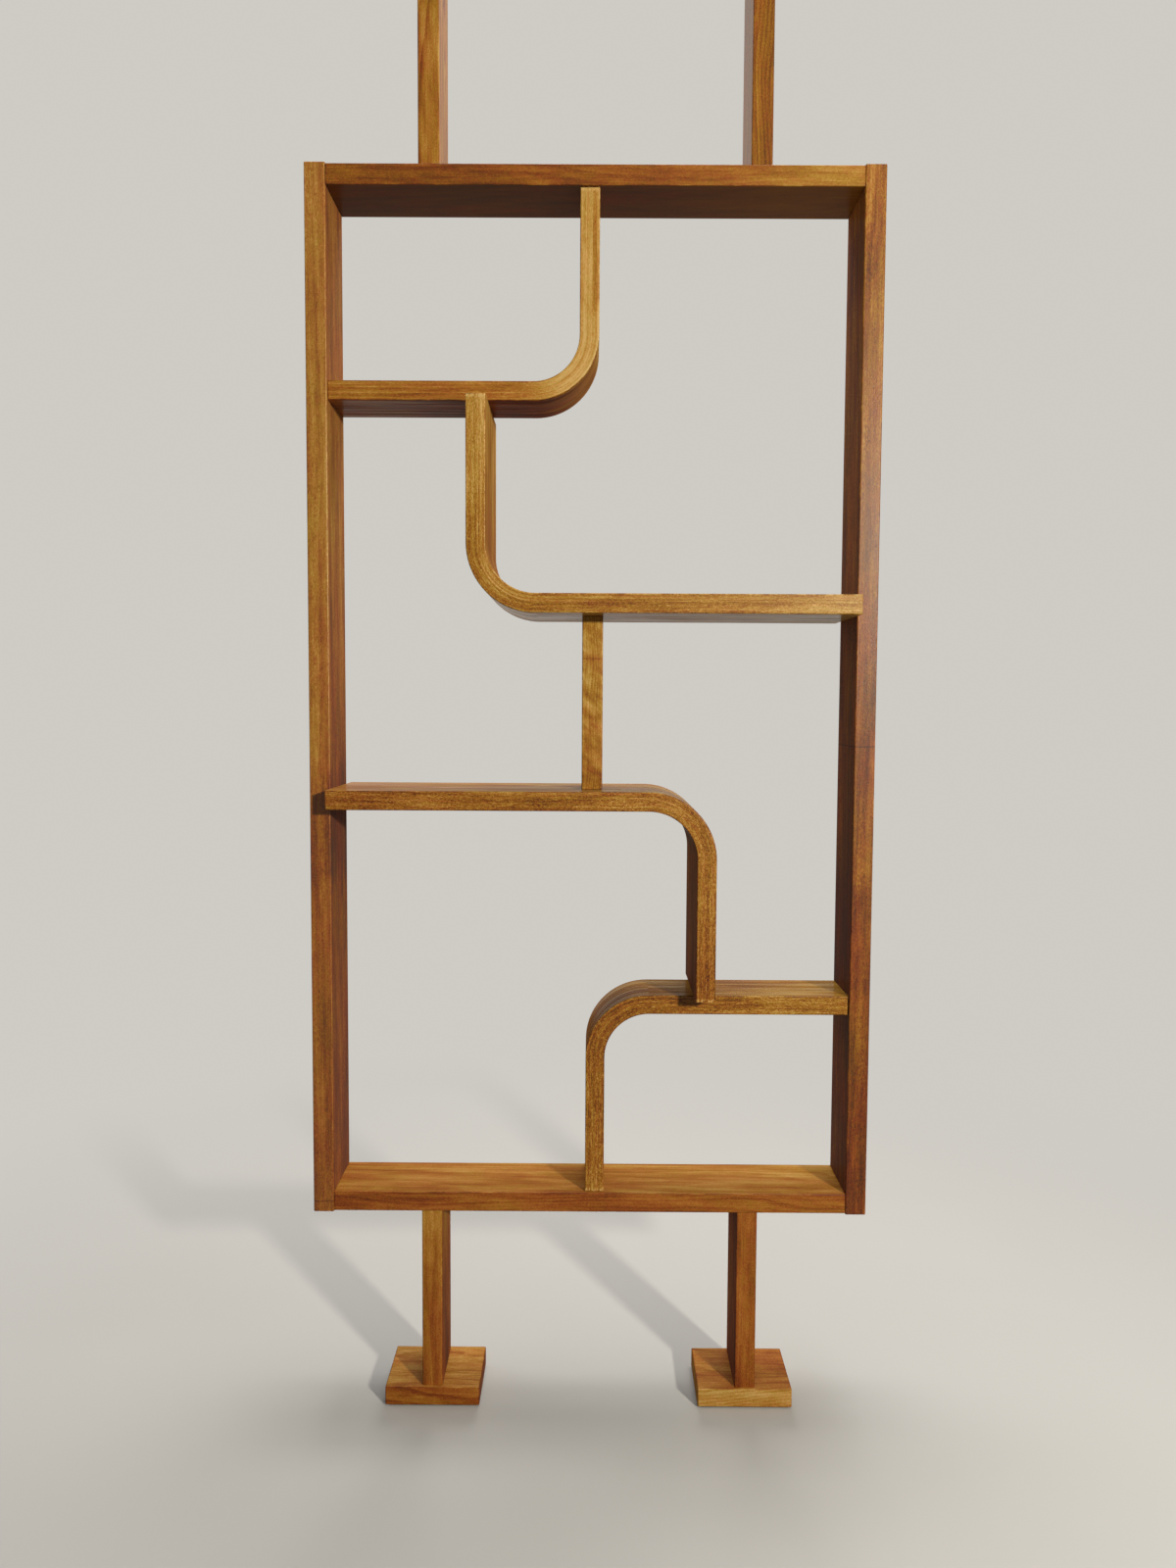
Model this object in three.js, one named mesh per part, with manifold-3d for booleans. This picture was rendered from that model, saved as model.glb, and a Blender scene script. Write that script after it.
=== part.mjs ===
// A floor to ceiling room divider in stained beech. A tall frame holds four bent laminated shelves
// and stands on two legs. Two posts above it end in screw jacks, whose plates press on the ceiling.
// Millimetres, +Z up, front towards -Y. The origin is on the floor, below the middle of the frame.

import * as THREE from "three";
import { mergeVertices } from "three/addons/utils/BufferGeometryUtils.js";
import Module from "manifold-3d";

const wasm = await Module();
wasm.setup();

// Frame
const frameWidth = 870;
const frameHeight = 1606;
const frameDepth = 122;
const uprightThickness = 32;
const railThickness = 31;
const railSetback = 2;

// Bent shelves: the rise is of the lower corner shelf's top above the frame's lower end, and offsets
// are of the middles of the upright arms from the middle of the frame. The lower deep shelf's top is
// where the centre post stands. The upper pair is the lower pair turned half way round.
const shelfThickness = 29.5;
const cornerShelfRise = 347.5;
const cornerArmOffset = 7.25;
const cornerBendRadius = 70;
const deepArmOffset = 175.25;
const deepBendRadius = 74;
const deepShelfOverhang = 40;

// Boards set back from the frame's faces
const innerSetback = 5;
const centrePostLength = 268;
const centrePostThickness = 32;
const centrePostSetback = 15;

// Legs, posts and plates
const legThickness = 32;
const legSpacing = 498;
const legLength = 288;
const upperPostLength = 480;
const plateWidth = 150;
const plateThickness = 30;
const padThickness = 2;
const padInset = 4;

// Joinery
const tenonThickness = 14;
const tenonShoulder = 16;
const tenonLength = 16;
const dowelDiameter = 8;
const dowelInEndGrain = 24;
const dowelInFace = 16;
const dowelSpacing = 64;
const dowelChamfer = 1;

// Screw jacks
const spindleDiameter = 14;
const spindleChamfer = 1.5;
const loweringTravel = 30;
const liftingTravel = 70;
const leastEngagement = 40;
const boreSpare = 10;
const bushBodyDiameter = 20;
const bushBodyLength = 25;
const bushFlangeDiameter = 30;
const bushFlangeThickness = 3;
const nutAcrossFlats = 24;
const nutHeight = 14;
const nutChamfer = 1.5;
const spindleFlangeDiameter = 56;
const spindleFlangeThickness = 4;
const weldSize = 2;
const screwCircleDiameter = 38;
const screwHeadDiameter = 8;
const screwHeadHeight = 2.2;
const screwShankDiameter = 4;
const screwLength = 20;
const screwPointLength = 3;
const screwsPerPlate = 3;

// Edges and clearances
const edgeRadius = 2;
const endEasing = 1.5;
const seatGap = 0.3;
const dowelClearance = 0.15;
const tenonClearance = 0.2;
const runningClearance = 0.1;
const boreClearance = 0.5;
const cutOverrun = 1;

// Numbers of facets
const edgeSegments = 2;
const bendSegments = 20;
const roundSegments = 32;
const dowelSegments = 12;
const screwSegments = 12;
const nutSides = 6;

// Materials
const stainedBeech = new THREE.MeshStandardMaterial({ color: 0xa4672a, roughness: 0.42, metalness: 0 });
const laminatedBeech = new THREE.MeshStandardMaterial({ color: 0xac7229, roughness: 0.4, metalness: 0 });
const bareBeech = new THREE.MeshStandardMaterial({ color: 0xcfae80, roughness: 0.7, metalness: 0 });
const steel = new THREE.MeshStandardMaterial({ color: 0x9a9a98, roughness: 0.35, metalness: 1 });
const felt = new THREE.MeshStandardMaterial({ color: 0x3b3229, roughness: 0.95, metalness: 0 });

// Derived sizes
const halfTurn = Math.PI;
const quarterTurn = Math.PI / 2;
const halfHeight = frameHeight / 2;
const innerHalfWidth = frameWidth / 2 - uprightThickness;
const plateDepth = frameDepth;
const innerDepth = frameDepth - 2 * innerSetback;
const deepShelfDepth = frameDepth + 2 * deepShelfOverhang;
const centrePostDepth = frameDepth - 2 * centrePostSetback;
const railFace = halfHeight - railSetback - railThickness;
const cornerShelfTop = cornerShelfRise - halfHeight;
const deepShelfRise = (frameHeight - centrePostLength) / 2;
const deepShelfTop = deepShelfRise - halfHeight;
const legTop = padThickness + plateThickness + legLength;
const frameCentre = legTop - railSetback + halfHeight;
const postFoot = frameCentre + halfHeight - railSetback;
const postTop = postFoot + upperPostLength;

// A manifold solid from a closed three.js geometry.
function solidOf(geometry) {
  const plain = geometry.clone();
  plain.deleteAttribute("normal");
  plain.deleteAttribute("uv");
  const merged = mergeVertices(plain);
  return new wasm.Manifold(
    new wasm.Mesh({
      numProp: 3,
      vertProperties: new Float32Array(merged.attributes.position.array),
      triVerts: new Uint32Array(merged.index.array),
    }),
  );
}

// A three.js geometry from a manifold solid.
function geometryOf(solid) {
  const mesh = solid.getMesh();
  const geometry = new THREE.BufferGeometry();
  geometry.setAttribute("position", new THREE.BufferAttribute(new Float32Array(mesh.vertProperties), 3));
  geometry.setIndex(new THREE.BufferAttribute(new Uint32Array(mesh.triVerts), 1));
  return geometry;
}

// The geometry with each of the cutters taken out of it.
function cut(geometry, cutters) {
  const rest = cutters.reduce((solid, cutter) => solid.subtract(solidOf(cutter)), solidOf(geometry));
  return geometryOf(rest);
}

// The geometry with each of the additions joined to it.
function join(geometry, additions) {
  const whole = additions.reduce((solid, addition) => solid.add(solidOf(addition)), solidOf(geometry));
  return geometryOf(whole);
}

function piece(name, geometry, material) {
  const flat = geometry.index ? geometry.toNonIndexed() : geometry;
  flat.computeVertexNormals();
  const mesh = new THREE.Mesh(flat, material);
  mesh.name = name;
  return mesh;
}

// A rectangle about the origin with rounded corners.
function roundedRectangle(width, depth, radius) {
  const x = width / 2 - radius;
  const y = depth / 2 - radius;
  const shape = new THREE.Shape();
  shape.absarc(x, y, radius, 0, quarterTurn);
  shape.absarc(-x, y, radius, quarterTurn, 2 * quarterTurn);
  shape.absarc(-x, -y, radius, 2 * quarterTurn, 3 * quarterTurn);
  shape.absarc(x, -y, radius, 3 * quarterTurn, 4 * quarterTurn);
  shape.closePath();
  return shape;
}

// A board that stands on the origin: its long edges are rounded and its ends are cut square.
function squareEndedBoard(width, depth, length) {
  const shape = roundedRectangle(width, depth, edgeRadius);
  return new THREE.ExtrudeGeometry(shape, {
    depth: length,
    bevelEnabled: false,
    curveSegments: edgeSegments,
  });
}

// The same board with its end edges eased too.
function easedBoard(width, depth, length) {
  const shape = roundedRectangle(width, depth, edgeRadius);
  const board = new THREE.ExtrudeGeometry(shape, {
    depth: length - 2 * endEasing,
    bevelThickness: endEasing,
    bevelSize: endEasing,
    bevelOffset: -endEasing,
    bevelSegments: edgeSegments,
    curveSegments: edgeSegments,
  });
  return board.translate(0, 0, endEasing);
}

// A rod that stands on the origin.
function rod(radius, length, segments) {
  const cylinder = new THREE.CylinderGeometry(radius, radius, length, segments);
  return cylinder.rotateX(quarterTurn).translate(0, 0, length / 2);
}

// A body turned about +Z, from pairs of radius and height that start and end on the axis.
function turned(profile, segments) {
  const points = profile.map(([radius, height]) => new THREE.Vector2(radius, height));
  return new THREE.LatheGeometry(points, segments).rotateX(quarterTurn);
}

// The corner radius that lets a faceted hole clear a round shaft by the running clearance.
function runningBore(diameter, segments) {
  return (diameter / 2 + runningClearance) / Math.cos(Math.PI / segments);
}

// Dowels

const dowelHoleRadius = dowelDiameter / 2 + dowelClearance;

// A dowel across a joint at the origin: its shorter end goes up into the face board.
function dowel() {
  const radius = dowelDiameter / 2;
  const low = -dowelInEndGrain;
  const high = dowelInFace;
  return turned(
    [
      [0, low],
      [radius - dowelChamfer, low],
      [radius, low + dowelChamfer],
      [radius, high - dowelChamfer],
      [radius - dowelChamfer, high],
      [0, high],
    ],
    dowelSegments,
  );
}

// The hole for it, through both boards.
function dowelHole() {
  const length = dowelInEndGrain + dowelInFace + 2 * seatGap;
  return rod(dowelHoleRadius, length, dowelSegments).translate(0, 0, -dowelInEndGrain - seatGap);
}

// Where a joint lies, and how its dowels turn from +Z to point into the face board.
const jointTurns = {
  left: (geometry) => geometry.rotateY(-quarterTurn),
  right: (geometry) => geometry.rotateY(quarterTurn),
  down: (geometry) => geometry.rotateX(halfTurn),
  up: (geometry) => geometry,
};

function across(joint, make, offset) {
  return jointTurns[joint.turn](make()).translate(joint.x, offset, joint.z);
}

function dowelHoles(joint) {
  return joint.offsets.map((offset) => across(joint, dowelHole, offset));
}

const pairOffsets = [-dowelSpacing / 2, dowelSpacing / 2];
const railMiddle = -railFace - railThickness / 2;
const cornerShelfMiddle = cornerShelfTop - shelfThickness / 2;
const deepShelfMiddle = deepShelfTop - shelfThickness / 2;

const joints = {
  railLeft: { x: -innerHalfWidth, z: railMiddle, turn: "left", offsets: pairOffsets },
  railRight: { x: innerHalfWidth, z: railMiddle, turn: "right", offsets: pairOffsets },
  cornerEnd: { x: innerHalfWidth, z: cornerShelfMiddle, turn: "right", offsets: pairOffsets },
  cornerFoot: { x: cornerArmOffset, z: -railFace, turn: "down", offsets: pairOffsets },
  deepEnd: { x: -innerHalfWidth, z: deepShelfMiddle, turn: "left", offsets: pairOffsets },
  deepFoot: { x: deepArmOffset, z: cornerShelfTop, turn: "down", offsets: pairOffsets },
  centreFoot: { x: 0, z: deepShelfTop, turn: "down", offsets: [0] },
};

// The same joint seen from the other half of the frame.
function opposite(joint) {
  const turns = { left: "right", right: "left", down: "up", up: "down" };
  return { ...joint, x: -joint.x, z: -joint.z, turn: turns[joint.turn] };
}

// Uprights and rails

function upright() {
  const board = easedBoard(uprightThickness, frameDepth, frameHeight);
  board.translate(frameWidth / 2 - uprightThickness / 2, 0, -halfHeight);
  const ends = [joints.railRight, joints.cornerEnd, opposite(joints.railLeft), opposite(joints.deepEnd)];
  return cut(board, ends.flatMap(dowelHoles));
}

function tenon() {
  const width = tenonThickness;
  const depth = innerDepth - 2 * tenonShoulder;
  return new THREE.BoxGeometry(width, depth, 2 * tenonLength);
}

function mortise() {
  const width = tenonThickness + 2 * tenonClearance;
  const depth = innerDepth - 2 * tenonShoulder + 2 * tenonClearance;
  return new THREE.BoxGeometry(width, depth, 2 * (tenonLength + seatGap));
}

function rail() {
  const length = 2 * (innerHalfWidth - seatGap);
  const board = squareEndedBoard(railThickness, frameDepth, length);
  board.rotateY(quarterTurn).translate(-length / 2, 0, railMiddle);
  const legHoles = [-1, 1].map((side) =>
    mortise().translate((side * legSpacing) / 2, 0, -railFace - railThickness),
  );
  const dowels = [joints.railLeft, joints.railRight, joints.cornerFoot].flatMap(dowelHoles);
  return cut(board, [...legHoles, ...dowels]);
}

// Bent shelves

// The side view of a bent shelf: level from its end, then down through the bend to its foot.
// It is drawn for a shelf that runs towards +X from its arm, and side -1 mirrors it.
function bentOutline({ side, armMiddle, end, top, foot, bendRadius }) {
  const outerRadius = bendRadius + shelfThickness;
  const armInner = side * armMiddle + shelfThickness / 2;
  const armOuter = armInner - shelfThickness;
  const centreX = armInner + bendRadius;
  const centreZ = top - outerRadius;
  const bend = (radius, share) => {
    const angle = quarterTurn * (1 + share);
    return [centreX + radius * Math.cos(angle), centreZ + radius * Math.sin(angle)];
  };
  const shares = Array.from({ length: bendSegments + 1 }, (_, i) => i / bendSegments);
  const points = [
    [side * end, top],
    ...shares.map((share) => bend(outerRadius, share)),
    [armOuter, foot],
    [armInner, foot],
    ...shares.map((share) => bend(bendRadius, 1 - share)),
    [side * end, top - shelfThickness],
  ];
  return new THREE.Shape(points.map(([x, z]) => new THREE.Vector2(side * x, z)));
}

// The shelf itself, as wide as depth, with its front and back edges eased.
function bentShelf(outline, depth) {
  const shelf = new THREE.ExtrudeGeometry(outline, {
    depth: depth - 2 * endEasing,
    bevelThickness: endEasing,
    bevelSize: endEasing,
    bevelOffset: -endEasing,
    bevelSegments: edgeSegments,
  });
  return shelf.rotateX(quarterTurn).translate(0, depth / 2 - endEasing, 0);
}

function cornerShelf() {
  const outline = bentOutline({
    side: 1,
    armMiddle: cornerArmOffset,
    end: innerHalfWidth - seatGap,
    top: cornerShelfTop,
    foot: -railFace + seatGap,
    bendRadius: cornerBendRadius,
  });
  const dowels = [joints.cornerEnd, joints.cornerFoot, joints.deepFoot].flatMap(dowelHoles);
  return cut(bentShelf(outline, innerDepth), dowels);
}

function deepShelf() {
  const outline = bentOutline({
    side: -1,
    armMiddle: deepArmOffset,
    end: -(innerHalfWidth - seatGap),
    top: deepShelfTop,
    foot: cornerShelfTop + seatGap,
    bendRadius: deepBendRadius,
  });
  const dowels = [joints.deepEnd, joints.deepFoot, joints.centreFoot].flatMap(dowelHoles);
  return cut(bentShelf(outline, deepShelfDepth), dowels);
}

function centrePost() {
  const length = centrePostLength - 2 * seatGap;
  const board = squareEndedBoard(centrePostThickness, centrePostDepth, length);
  board.translate(0, 0, -length / 2);
  const ends = [joints.centreFoot, opposite(joints.centreFoot)];
  return cut(board, ends.flatMap(dowelHoles));
}

// One half of the frame, in the frame's own middle: the other half is the same, turned half round.
function frameHalf(names) {
  const half = new THREE.Group();
  half.add(piece(names.upright, upright(), stainedBeech));
  half.add(piece(names.rail, rail(), stainedBeech));
  half.add(piece(names.cornerShelf, cornerShelf(), laminatedBeech));
  half.add(piece(names.deepShelf, deepShelf(), laminatedBeech));
  for (const [place, joint] of Object.entries(joints)) {
    joint.offsets.forEach((offset, i) => {
      const name = [names.dowels[place], i + 1].join("_");
      half.add(piece(name, across(joint, dowel, offset), bareBeech));
    });
  }
  return half;
}

function frame() {
  const lower = frameHalf({
    upright: "upright_right",
    rail: "bottom_rail",
    cornerShelf: "corner_shelf_lower",
    deepShelf: "deep_shelf_lower",
    dowels: {
      railLeft: "dowel_bottom_rail_left",
      railRight: "dowel_bottom_rail_right",
      cornerEnd: "dowel_corner_shelf_lower_end",
      cornerFoot: "dowel_corner_shelf_lower_foot",
      deepEnd: "dowel_deep_shelf_lower_end",
      deepFoot: "dowel_deep_shelf_lower_foot",
      centreFoot: "dowel_centre_post_foot",
    },
  });
  const upper = frameHalf({
    upright: "upright_left",
    rail: "top_rail",
    cornerShelf: "corner_shelf_upper",
    deepShelf: "deep_shelf_upper",
    dowels: {
      railLeft: "dowel_top_rail_right",
      railRight: "dowel_top_rail_left",
      cornerEnd: "dowel_corner_shelf_upper_end",
      cornerFoot: "dowel_corner_shelf_upper_head",
      deepEnd: "dowel_deep_shelf_upper_end",
      deepFoot: "dowel_deep_shelf_upper_head",
      centreFoot: "dowel_centre_post_head",
    },
  });
  upper.rotation.y = halfTurn;
  const whole = new THREE.Group();
  whole.add(lower, upper, piece("centre_post", centrePost(), stainedBeech));
  whole.position.z = frameCentre;
  return whole;
}

// Legs and feet

function leg() {
  const board = squareEndedBoard(legThickness, innerDepth, legLength - 2 * seatGap);
  board.translate(0, 0, seatGap);
  return join(board, [tenon(), tenon().translate(0, 0, legLength)]);
}

function plate() {
  return easedBoard(plateWidth, plateDepth, plateThickness - seatGap);
}

function pad() {
  return squareEndedBoard(plateWidth - 2 * padInset, plateDepth - 2 * padInset, padThickness);
}

function foot(side, x) {
  const plateTop = padThickness + plateThickness;
  const footPlate = cut(plate().translate(0, 0, padThickness + seatGap), [
    mortise().translate(0, 0, plateTop),
  ]);
  const whole = new THREE.Group();
  const standing = piece("leg_" + side, leg(), stainedBeech);
  standing.position.z = plateTop;
  whole.add(
    piece("foot_pad_" + side, pad(), felt),
    piece("foot_plate_" + side, footPlate, stainedBeech),
    standing,
  );
  whole.position.x = x;
  return whole;
}

// Screw jacks, measured from the top of the post

const bushTop = seatGap + bushFlangeThickness;
const nutFoot = bushTop + seatGap;
const nutTop = nutFoot + nutHeight;
const spindleFlangeFoot = nutTop + seatGap + weldSize + loweringTravel;
const spindleFlangeTop = spindleFlangeFoot + spindleFlangeThickness;
const spindleFoot = -(leastEngagement + liftingTravel);
const ceilingPlateFoot = spindleFlangeTop + seatGap;
const ceilingPadFoot = ceilingPlateFoot + plateThickness;

function upperPost() {
  const board = squareEndedBoard(legThickness, innerDepth, upperPostLength - seatGap);
  const post = join(board.translate(0, 0, seatGap), [tenon()]);
  const boreDepth = -spindleFoot + loweringTravel + boreSpare;
  const bore = rod(spindleDiameter / 2 + boreClearance, boreDepth + cutOverrun, roundSegments);
  const seatDepth = bushBodyLength + seatGap;
  const bushSeat = rod(bushBodyDiameter / 2 + tenonClearance, seatDepth + cutOverrun, roundSegments);
  return cut(post, [
    bore.translate(0, 0, upperPostLength - boreDepth),
    bushSeat.translate(0, 0, upperPostLength - seatDepth),
  ]);
}

// The steel bush that guides the spindle in the post's end and carries the nut.
function guideBush() {
  const bush = turned(
    [
      [0, seatGap - bushBodyLength],
      [bushBodyDiameter / 2, seatGap - bushBodyLength],
      [bushBodyDiameter / 2, seatGap],
      [bushFlangeDiameter / 2, seatGap],
      [bushFlangeDiameter / 2, bushTop],
      [0, bushTop],
    ],
    roundSegments,
  );
  const length = bushBodyLength + bushFlangeThickness + 2 * cutOverrun;
  const bore = rod(runningBore(spindleDiameter, roundSegments), length, roundSegments);
  return cut(bush, [bore.translate(0, 0, seatGap - bushBodyLength - cutOverrun)]);
}

// A hexagon nut with chamfered corners.
function jackNut() {
  const cornerRadius = nutAcrossFlats / 2 / Math.cos(Math.PI / nutSides);
  const blank = rod(cornerRadius, nutHeight, nutSides).translate(0, 0, nutFoot);
  const chamfered = turned(
    [
      [0, nutFoot],
      [nutAcrossFlats / 2, nutFoot],
      [nutAcrossFlats / 2 + nutChamfer, nutFoot + nutChamfer],
      [nutAcrossFlats / 2 + nutChamfer, nutTop - nutChamfer],
      [nutAcrossFlats / 2, nutTop],
      [0, nutTop],
    ],
    roundSegments,
  );
  const length = nutHeight + 2 * cutOverrun;
  const bore = rod(runningBore(spindleDiameter, roundSegments), length, roundSegments);
  const nut = solidOf(blank).intersect(solidOf(chamfered));
  return geometryOf(nut.subtract(solidOf(bore.translate(0, 0, nutFoot - cutOverrun))));
}

// Where the screws stand round the spindle's flange.
const screwPlaces = Array.from({ length: screwsPerPlate }, (_, i) => {
  const angle = quarterTurn + (2 * Math.PI * i) / screwsPerPlate;
  return [(screwCircleDiameter / 2) * Math.cos(angle), (screwCircleDiameter / 2) * Math.sin(angle)];
});

// A countersunk screw, head down, whose head lies level with the flange's lower face.
function plateScrew() {
  const shank = screwShankDiameter / 2;
  return turned(
    [
      [0, 0],
      [screwHeadDiameter / 2, 0],
      [shank, screwHeadHeight],
      [shank, screwLength - screwPointLength],
      [0, screwLength],
    ],
    screwSegments,
  );
}

// The holes for the screws, through the flange and into the plate above it.
function screwHoles() {
  const mouth = screwHeadDiameter / 2 + tenonClearance;
  const shank = screwShankDiameter / 2 + tenonClearance;
  const profile = [
    [0, -cutOverrun],
    [mouth, -cutOverrun],
    [mouth, tenonClearance],
    [shank, screwHeadHeight + tenonClearance],
    [shank, screwLength - screwPointLength + tenonClearance],
    [0, screwLength + tenonClearance],
  ];
  return screwPlaces.map(([x, y]) => turned(profile, screwSegments).translate(x, y, spindleFlangeFoot));
}

// The spindle with the round flange that is welded to its head.
function spindle() {
  const radius = spindleDiameter / 2;
  const flangeRadius = spindleFlangeDiameter / 2;
  const body = turned(
    [
      [0, spindleFoot],
      [radius - spindleChamfer, spindleFoot],
      [radius, spindleFoot + spindleChamfer],
      [radius, spindleFlangeFoot - weldSize],
      [radius + weldSize, spindleFlangeFoot],
      [flangeRadius, spindleFlangeFoot],
      [flangeRadius, spindleFlangeTop],
      [0, spindleFlangeTop],
    ],
    roundSegments,
  );
  return cut(body, screwHoles());
}

function jack(side, x) {
  const whole = new THREE.Group();
  const ceilingPlate = cut(plate().translate(0, 0, ceilingPlateFoot), screwHoles());
  const ceilingPad = pad().translate(0, 0, ceilingPadFoot);
  whole.add(
    piece("guide_bush_" + side, guideBush(), steel),
    piece("jack_nut_" + side, jackNut(), steel),
    piece("jack_spindle_" + side, spindle(), steel),
    piece("ceiling_plate_" + side, ceilingPlate, stainedBeech),
    piece("ceiling_pad_" + side, ceilingPad, felt),
  );
  screwPlaces.forEach(([screwX, screwY], i) => {
    const name = ["plate_screw", side, i + 1].join("_");
    const screw = piece(name, plateScrew(), steel);
    screw.position.set(screwX, screwY, spindleFlangeFoot);
    whole.add(screw);
  });
  whole.position.set(x, 0, postTop);
  return whole;
}

function post(side, x) {
  const standing = piece("upper_post_" + side, upperPost(), stainedBeech);
  standing.position.set(x, 0, postFoot);
  return standing;
}

const divider = new THREE.Group();
divider.add(frame());
const sides = { left: -legSpacing / 2, right: legSpacing / 2 };
for (const [side, x] of Object.entries(sides)) {
  divider.add(foot(side, x), post(side, x), jack(side, x));
}

export default divider;
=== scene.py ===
"""The looks of a beech room divider: stained boards, bent shelves, steel jacks and felt pads."""

import math

import bmesh
import bpy
from mathutils import Matrix, Vector


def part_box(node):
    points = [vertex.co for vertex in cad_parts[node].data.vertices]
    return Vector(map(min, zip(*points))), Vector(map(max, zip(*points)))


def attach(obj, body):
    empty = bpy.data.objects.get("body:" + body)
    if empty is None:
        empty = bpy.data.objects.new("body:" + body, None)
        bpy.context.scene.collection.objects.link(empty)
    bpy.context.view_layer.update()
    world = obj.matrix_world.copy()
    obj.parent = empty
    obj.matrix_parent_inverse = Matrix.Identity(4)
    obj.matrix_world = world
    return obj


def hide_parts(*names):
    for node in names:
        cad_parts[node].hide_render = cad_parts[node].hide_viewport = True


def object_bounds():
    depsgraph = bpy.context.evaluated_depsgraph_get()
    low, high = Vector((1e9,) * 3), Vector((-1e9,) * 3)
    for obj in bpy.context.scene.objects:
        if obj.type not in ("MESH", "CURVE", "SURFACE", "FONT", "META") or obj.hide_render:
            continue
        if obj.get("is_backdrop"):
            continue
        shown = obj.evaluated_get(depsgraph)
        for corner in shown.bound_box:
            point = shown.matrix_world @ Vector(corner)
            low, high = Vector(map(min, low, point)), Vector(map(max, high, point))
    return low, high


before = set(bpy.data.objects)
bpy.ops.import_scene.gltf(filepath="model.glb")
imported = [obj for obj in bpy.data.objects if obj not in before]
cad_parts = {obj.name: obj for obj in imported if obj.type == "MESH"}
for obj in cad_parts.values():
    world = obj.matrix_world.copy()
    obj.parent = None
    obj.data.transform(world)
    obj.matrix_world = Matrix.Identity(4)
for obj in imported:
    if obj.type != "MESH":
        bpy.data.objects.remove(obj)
cad_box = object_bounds()

MM = 0.001

# Camera, as the photograph was taken: its place in metres and its turns in degrees
CAMERA_PLACE = (-0.0016, -1.8905, 1.1170)
CAMERA_PAN = 0.136
CAMERA_TILT = 86.232
CAMERA_ROLL = 0.308
CAMERA_LENS = 36.45
SENSOR_WIDTH = 36

# Lamps: place, the point aimed at, size, power, colour, and whether glossy surfaces mirror it. The
# key stands to the right of the camera, and the fill lights the divider's left side.
LAMPS = {
    "key": ((1.9, -3.2, 1.85), (0, 0, 1.1), 0.25, 138, (1.0, 0.95, 0.84), True),
    "overhead": ((0.3, 0.6, 4.2), (0, 0, 0), 2.6, 140, (1.0, 0.98, 0.95), True),
    "behind": ((0.2, 4.2, 2.2), (0, 0, 1.2), 2.0, 75, (1.0, 0.97, 0.92), False),
    "fill": ((-3.6, 1.2, 1.5), (0, 0, 1.2), 1.8, 21, (0.96, 0.98, 1.0), False),
}
ROOM_COLOUR = (0.10, 0.10, 0.098, 1)

# Stage: a round floor that fades into the pale background
FLOOR_RADIUS = 9
FLOOR_SIDES = 96
FADE_START = 0.8
FADE_END = 2.0
FLOOR_COLOUR = (0.50, 0.49, 0.47, 1)
BACKGROUND_COLOUR = (0.62, 0.60, 0.56, 1)
BOUNCE_COLOUR = (0.13, 0.125, 0.115, 1)

# Bent shelves
SHELF_THICKNESS = 29.5 * MM
CORNER_BEND = 70 * MM
DEEP_BEND = 74 * MM
PLY_COUNT = 14

# Where a face counts as looking along an axis: the normal's part along it at the start, and in full
BOARD_FACING = (0.6, 0.9)
SHELF_FACING = (0.5, 0.9)
SHELF_UNDER_FACING = (-0.2, 0.5)
SHELF_LEVEL_FACING = (0.35, 0.9)

# Painted shade: faces that look down are painted darker and less red,
# unless a shelf's own facts say otherwise
PAINTED_UNDERSIDE_SHADE = -0.16
UNDERSIDE_RED = -0.5

# Lacquer: its roughness seen straight on, what a slanting view, the fibres and the dents add to it,
# and where a view counts as slanting, from 0 straight on to 1 edge on
LACQUER_ROUGHNESS = 0.36
SLANT_ROUGHNESS = 0.6
FIBRE_ROUGHNESS = 0.12
DENT_ROUGHNESS = 0.05
SLANT = (0.35, 0.7)
LACQUER_BUMP = 0.16 * MM
LACQUER_SPECULAR = 0.22
COAT_ROUGHNESS = 0.22
COAT_SLANT = (0.5, 1.0)

# Arrises: how near to the edge they start to look stained or worn, and where they do in full. The
# tones are how much darker the stained ones are and how much lighter the worn ones.
STAINED_ARRIS = (1.8 * MM, 0.72 * MM)
WORN_ARRIS = (2.4 * MM, 0.72 * MM)
# The inside arris of a shelf gets a painted glint: a thin light line where its rounded edge catches
# the light
INSIDE_ARRIS_GLINT = (2.4 * MM, 1.2 * MM)
BOARD_ARRIS_TONES = (0.12, 0.14)
SHELF_ARRIS_TONES = (0.2, 0.08)

# End grain takes more stain, also on the last millimetres of the long faces
END_TONE = -0.1
END_REACH = 3 * MM

# The cut end of a shelf's arm is worn bare over the first reach, wholly over the second
BARE_END = (7 * MM, 3 * MM)

# How near to a shelf's front and back its plies start to show, and where they show in full
PLIES_SHOW = (1.4 * MM, 0.4 * MM)

# How near to the lines between the plies glue shows, and how far inside the outer faces these lines
# start, all in thicknesses of a ply
GLUE_LINE = (0.18, 0.06)
GLUE_INSIDE = (0.3, 0.6)

# Where a mark starts to show and where it shows in full, as shares of its reach
MARK_ENDS = (1.2, 0.6)

# Shading of the solids: an edge is sharp above this angle, and points nearer than this are one
SHARP_ANGLE = 50
WELD_DISTANCE = 0.01 * MM

# Spindle
SPINDLE_RADIUS = 7 * MM
SPINDLE_CHAMFER = 1.5 * MM
SPINDLE_NECK = 8 * MM
THREAD_PITCH = 4 * MM
THREAD_DEPTH = 2.25 * MM
THREAD_CREST = 1.46 * MM
THREAD_FLANK = 0.6 * MM
THREAD_STEPS = 40
SPARE_TURNS = 2
FLANGE_THICKNESS = 4 * MM
FLANGE_EASING = 0.6 * MM
WELD_SIZE = 2 * MM
WELD_STEPS = 4
LATHE_STEPS = 64

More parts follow.
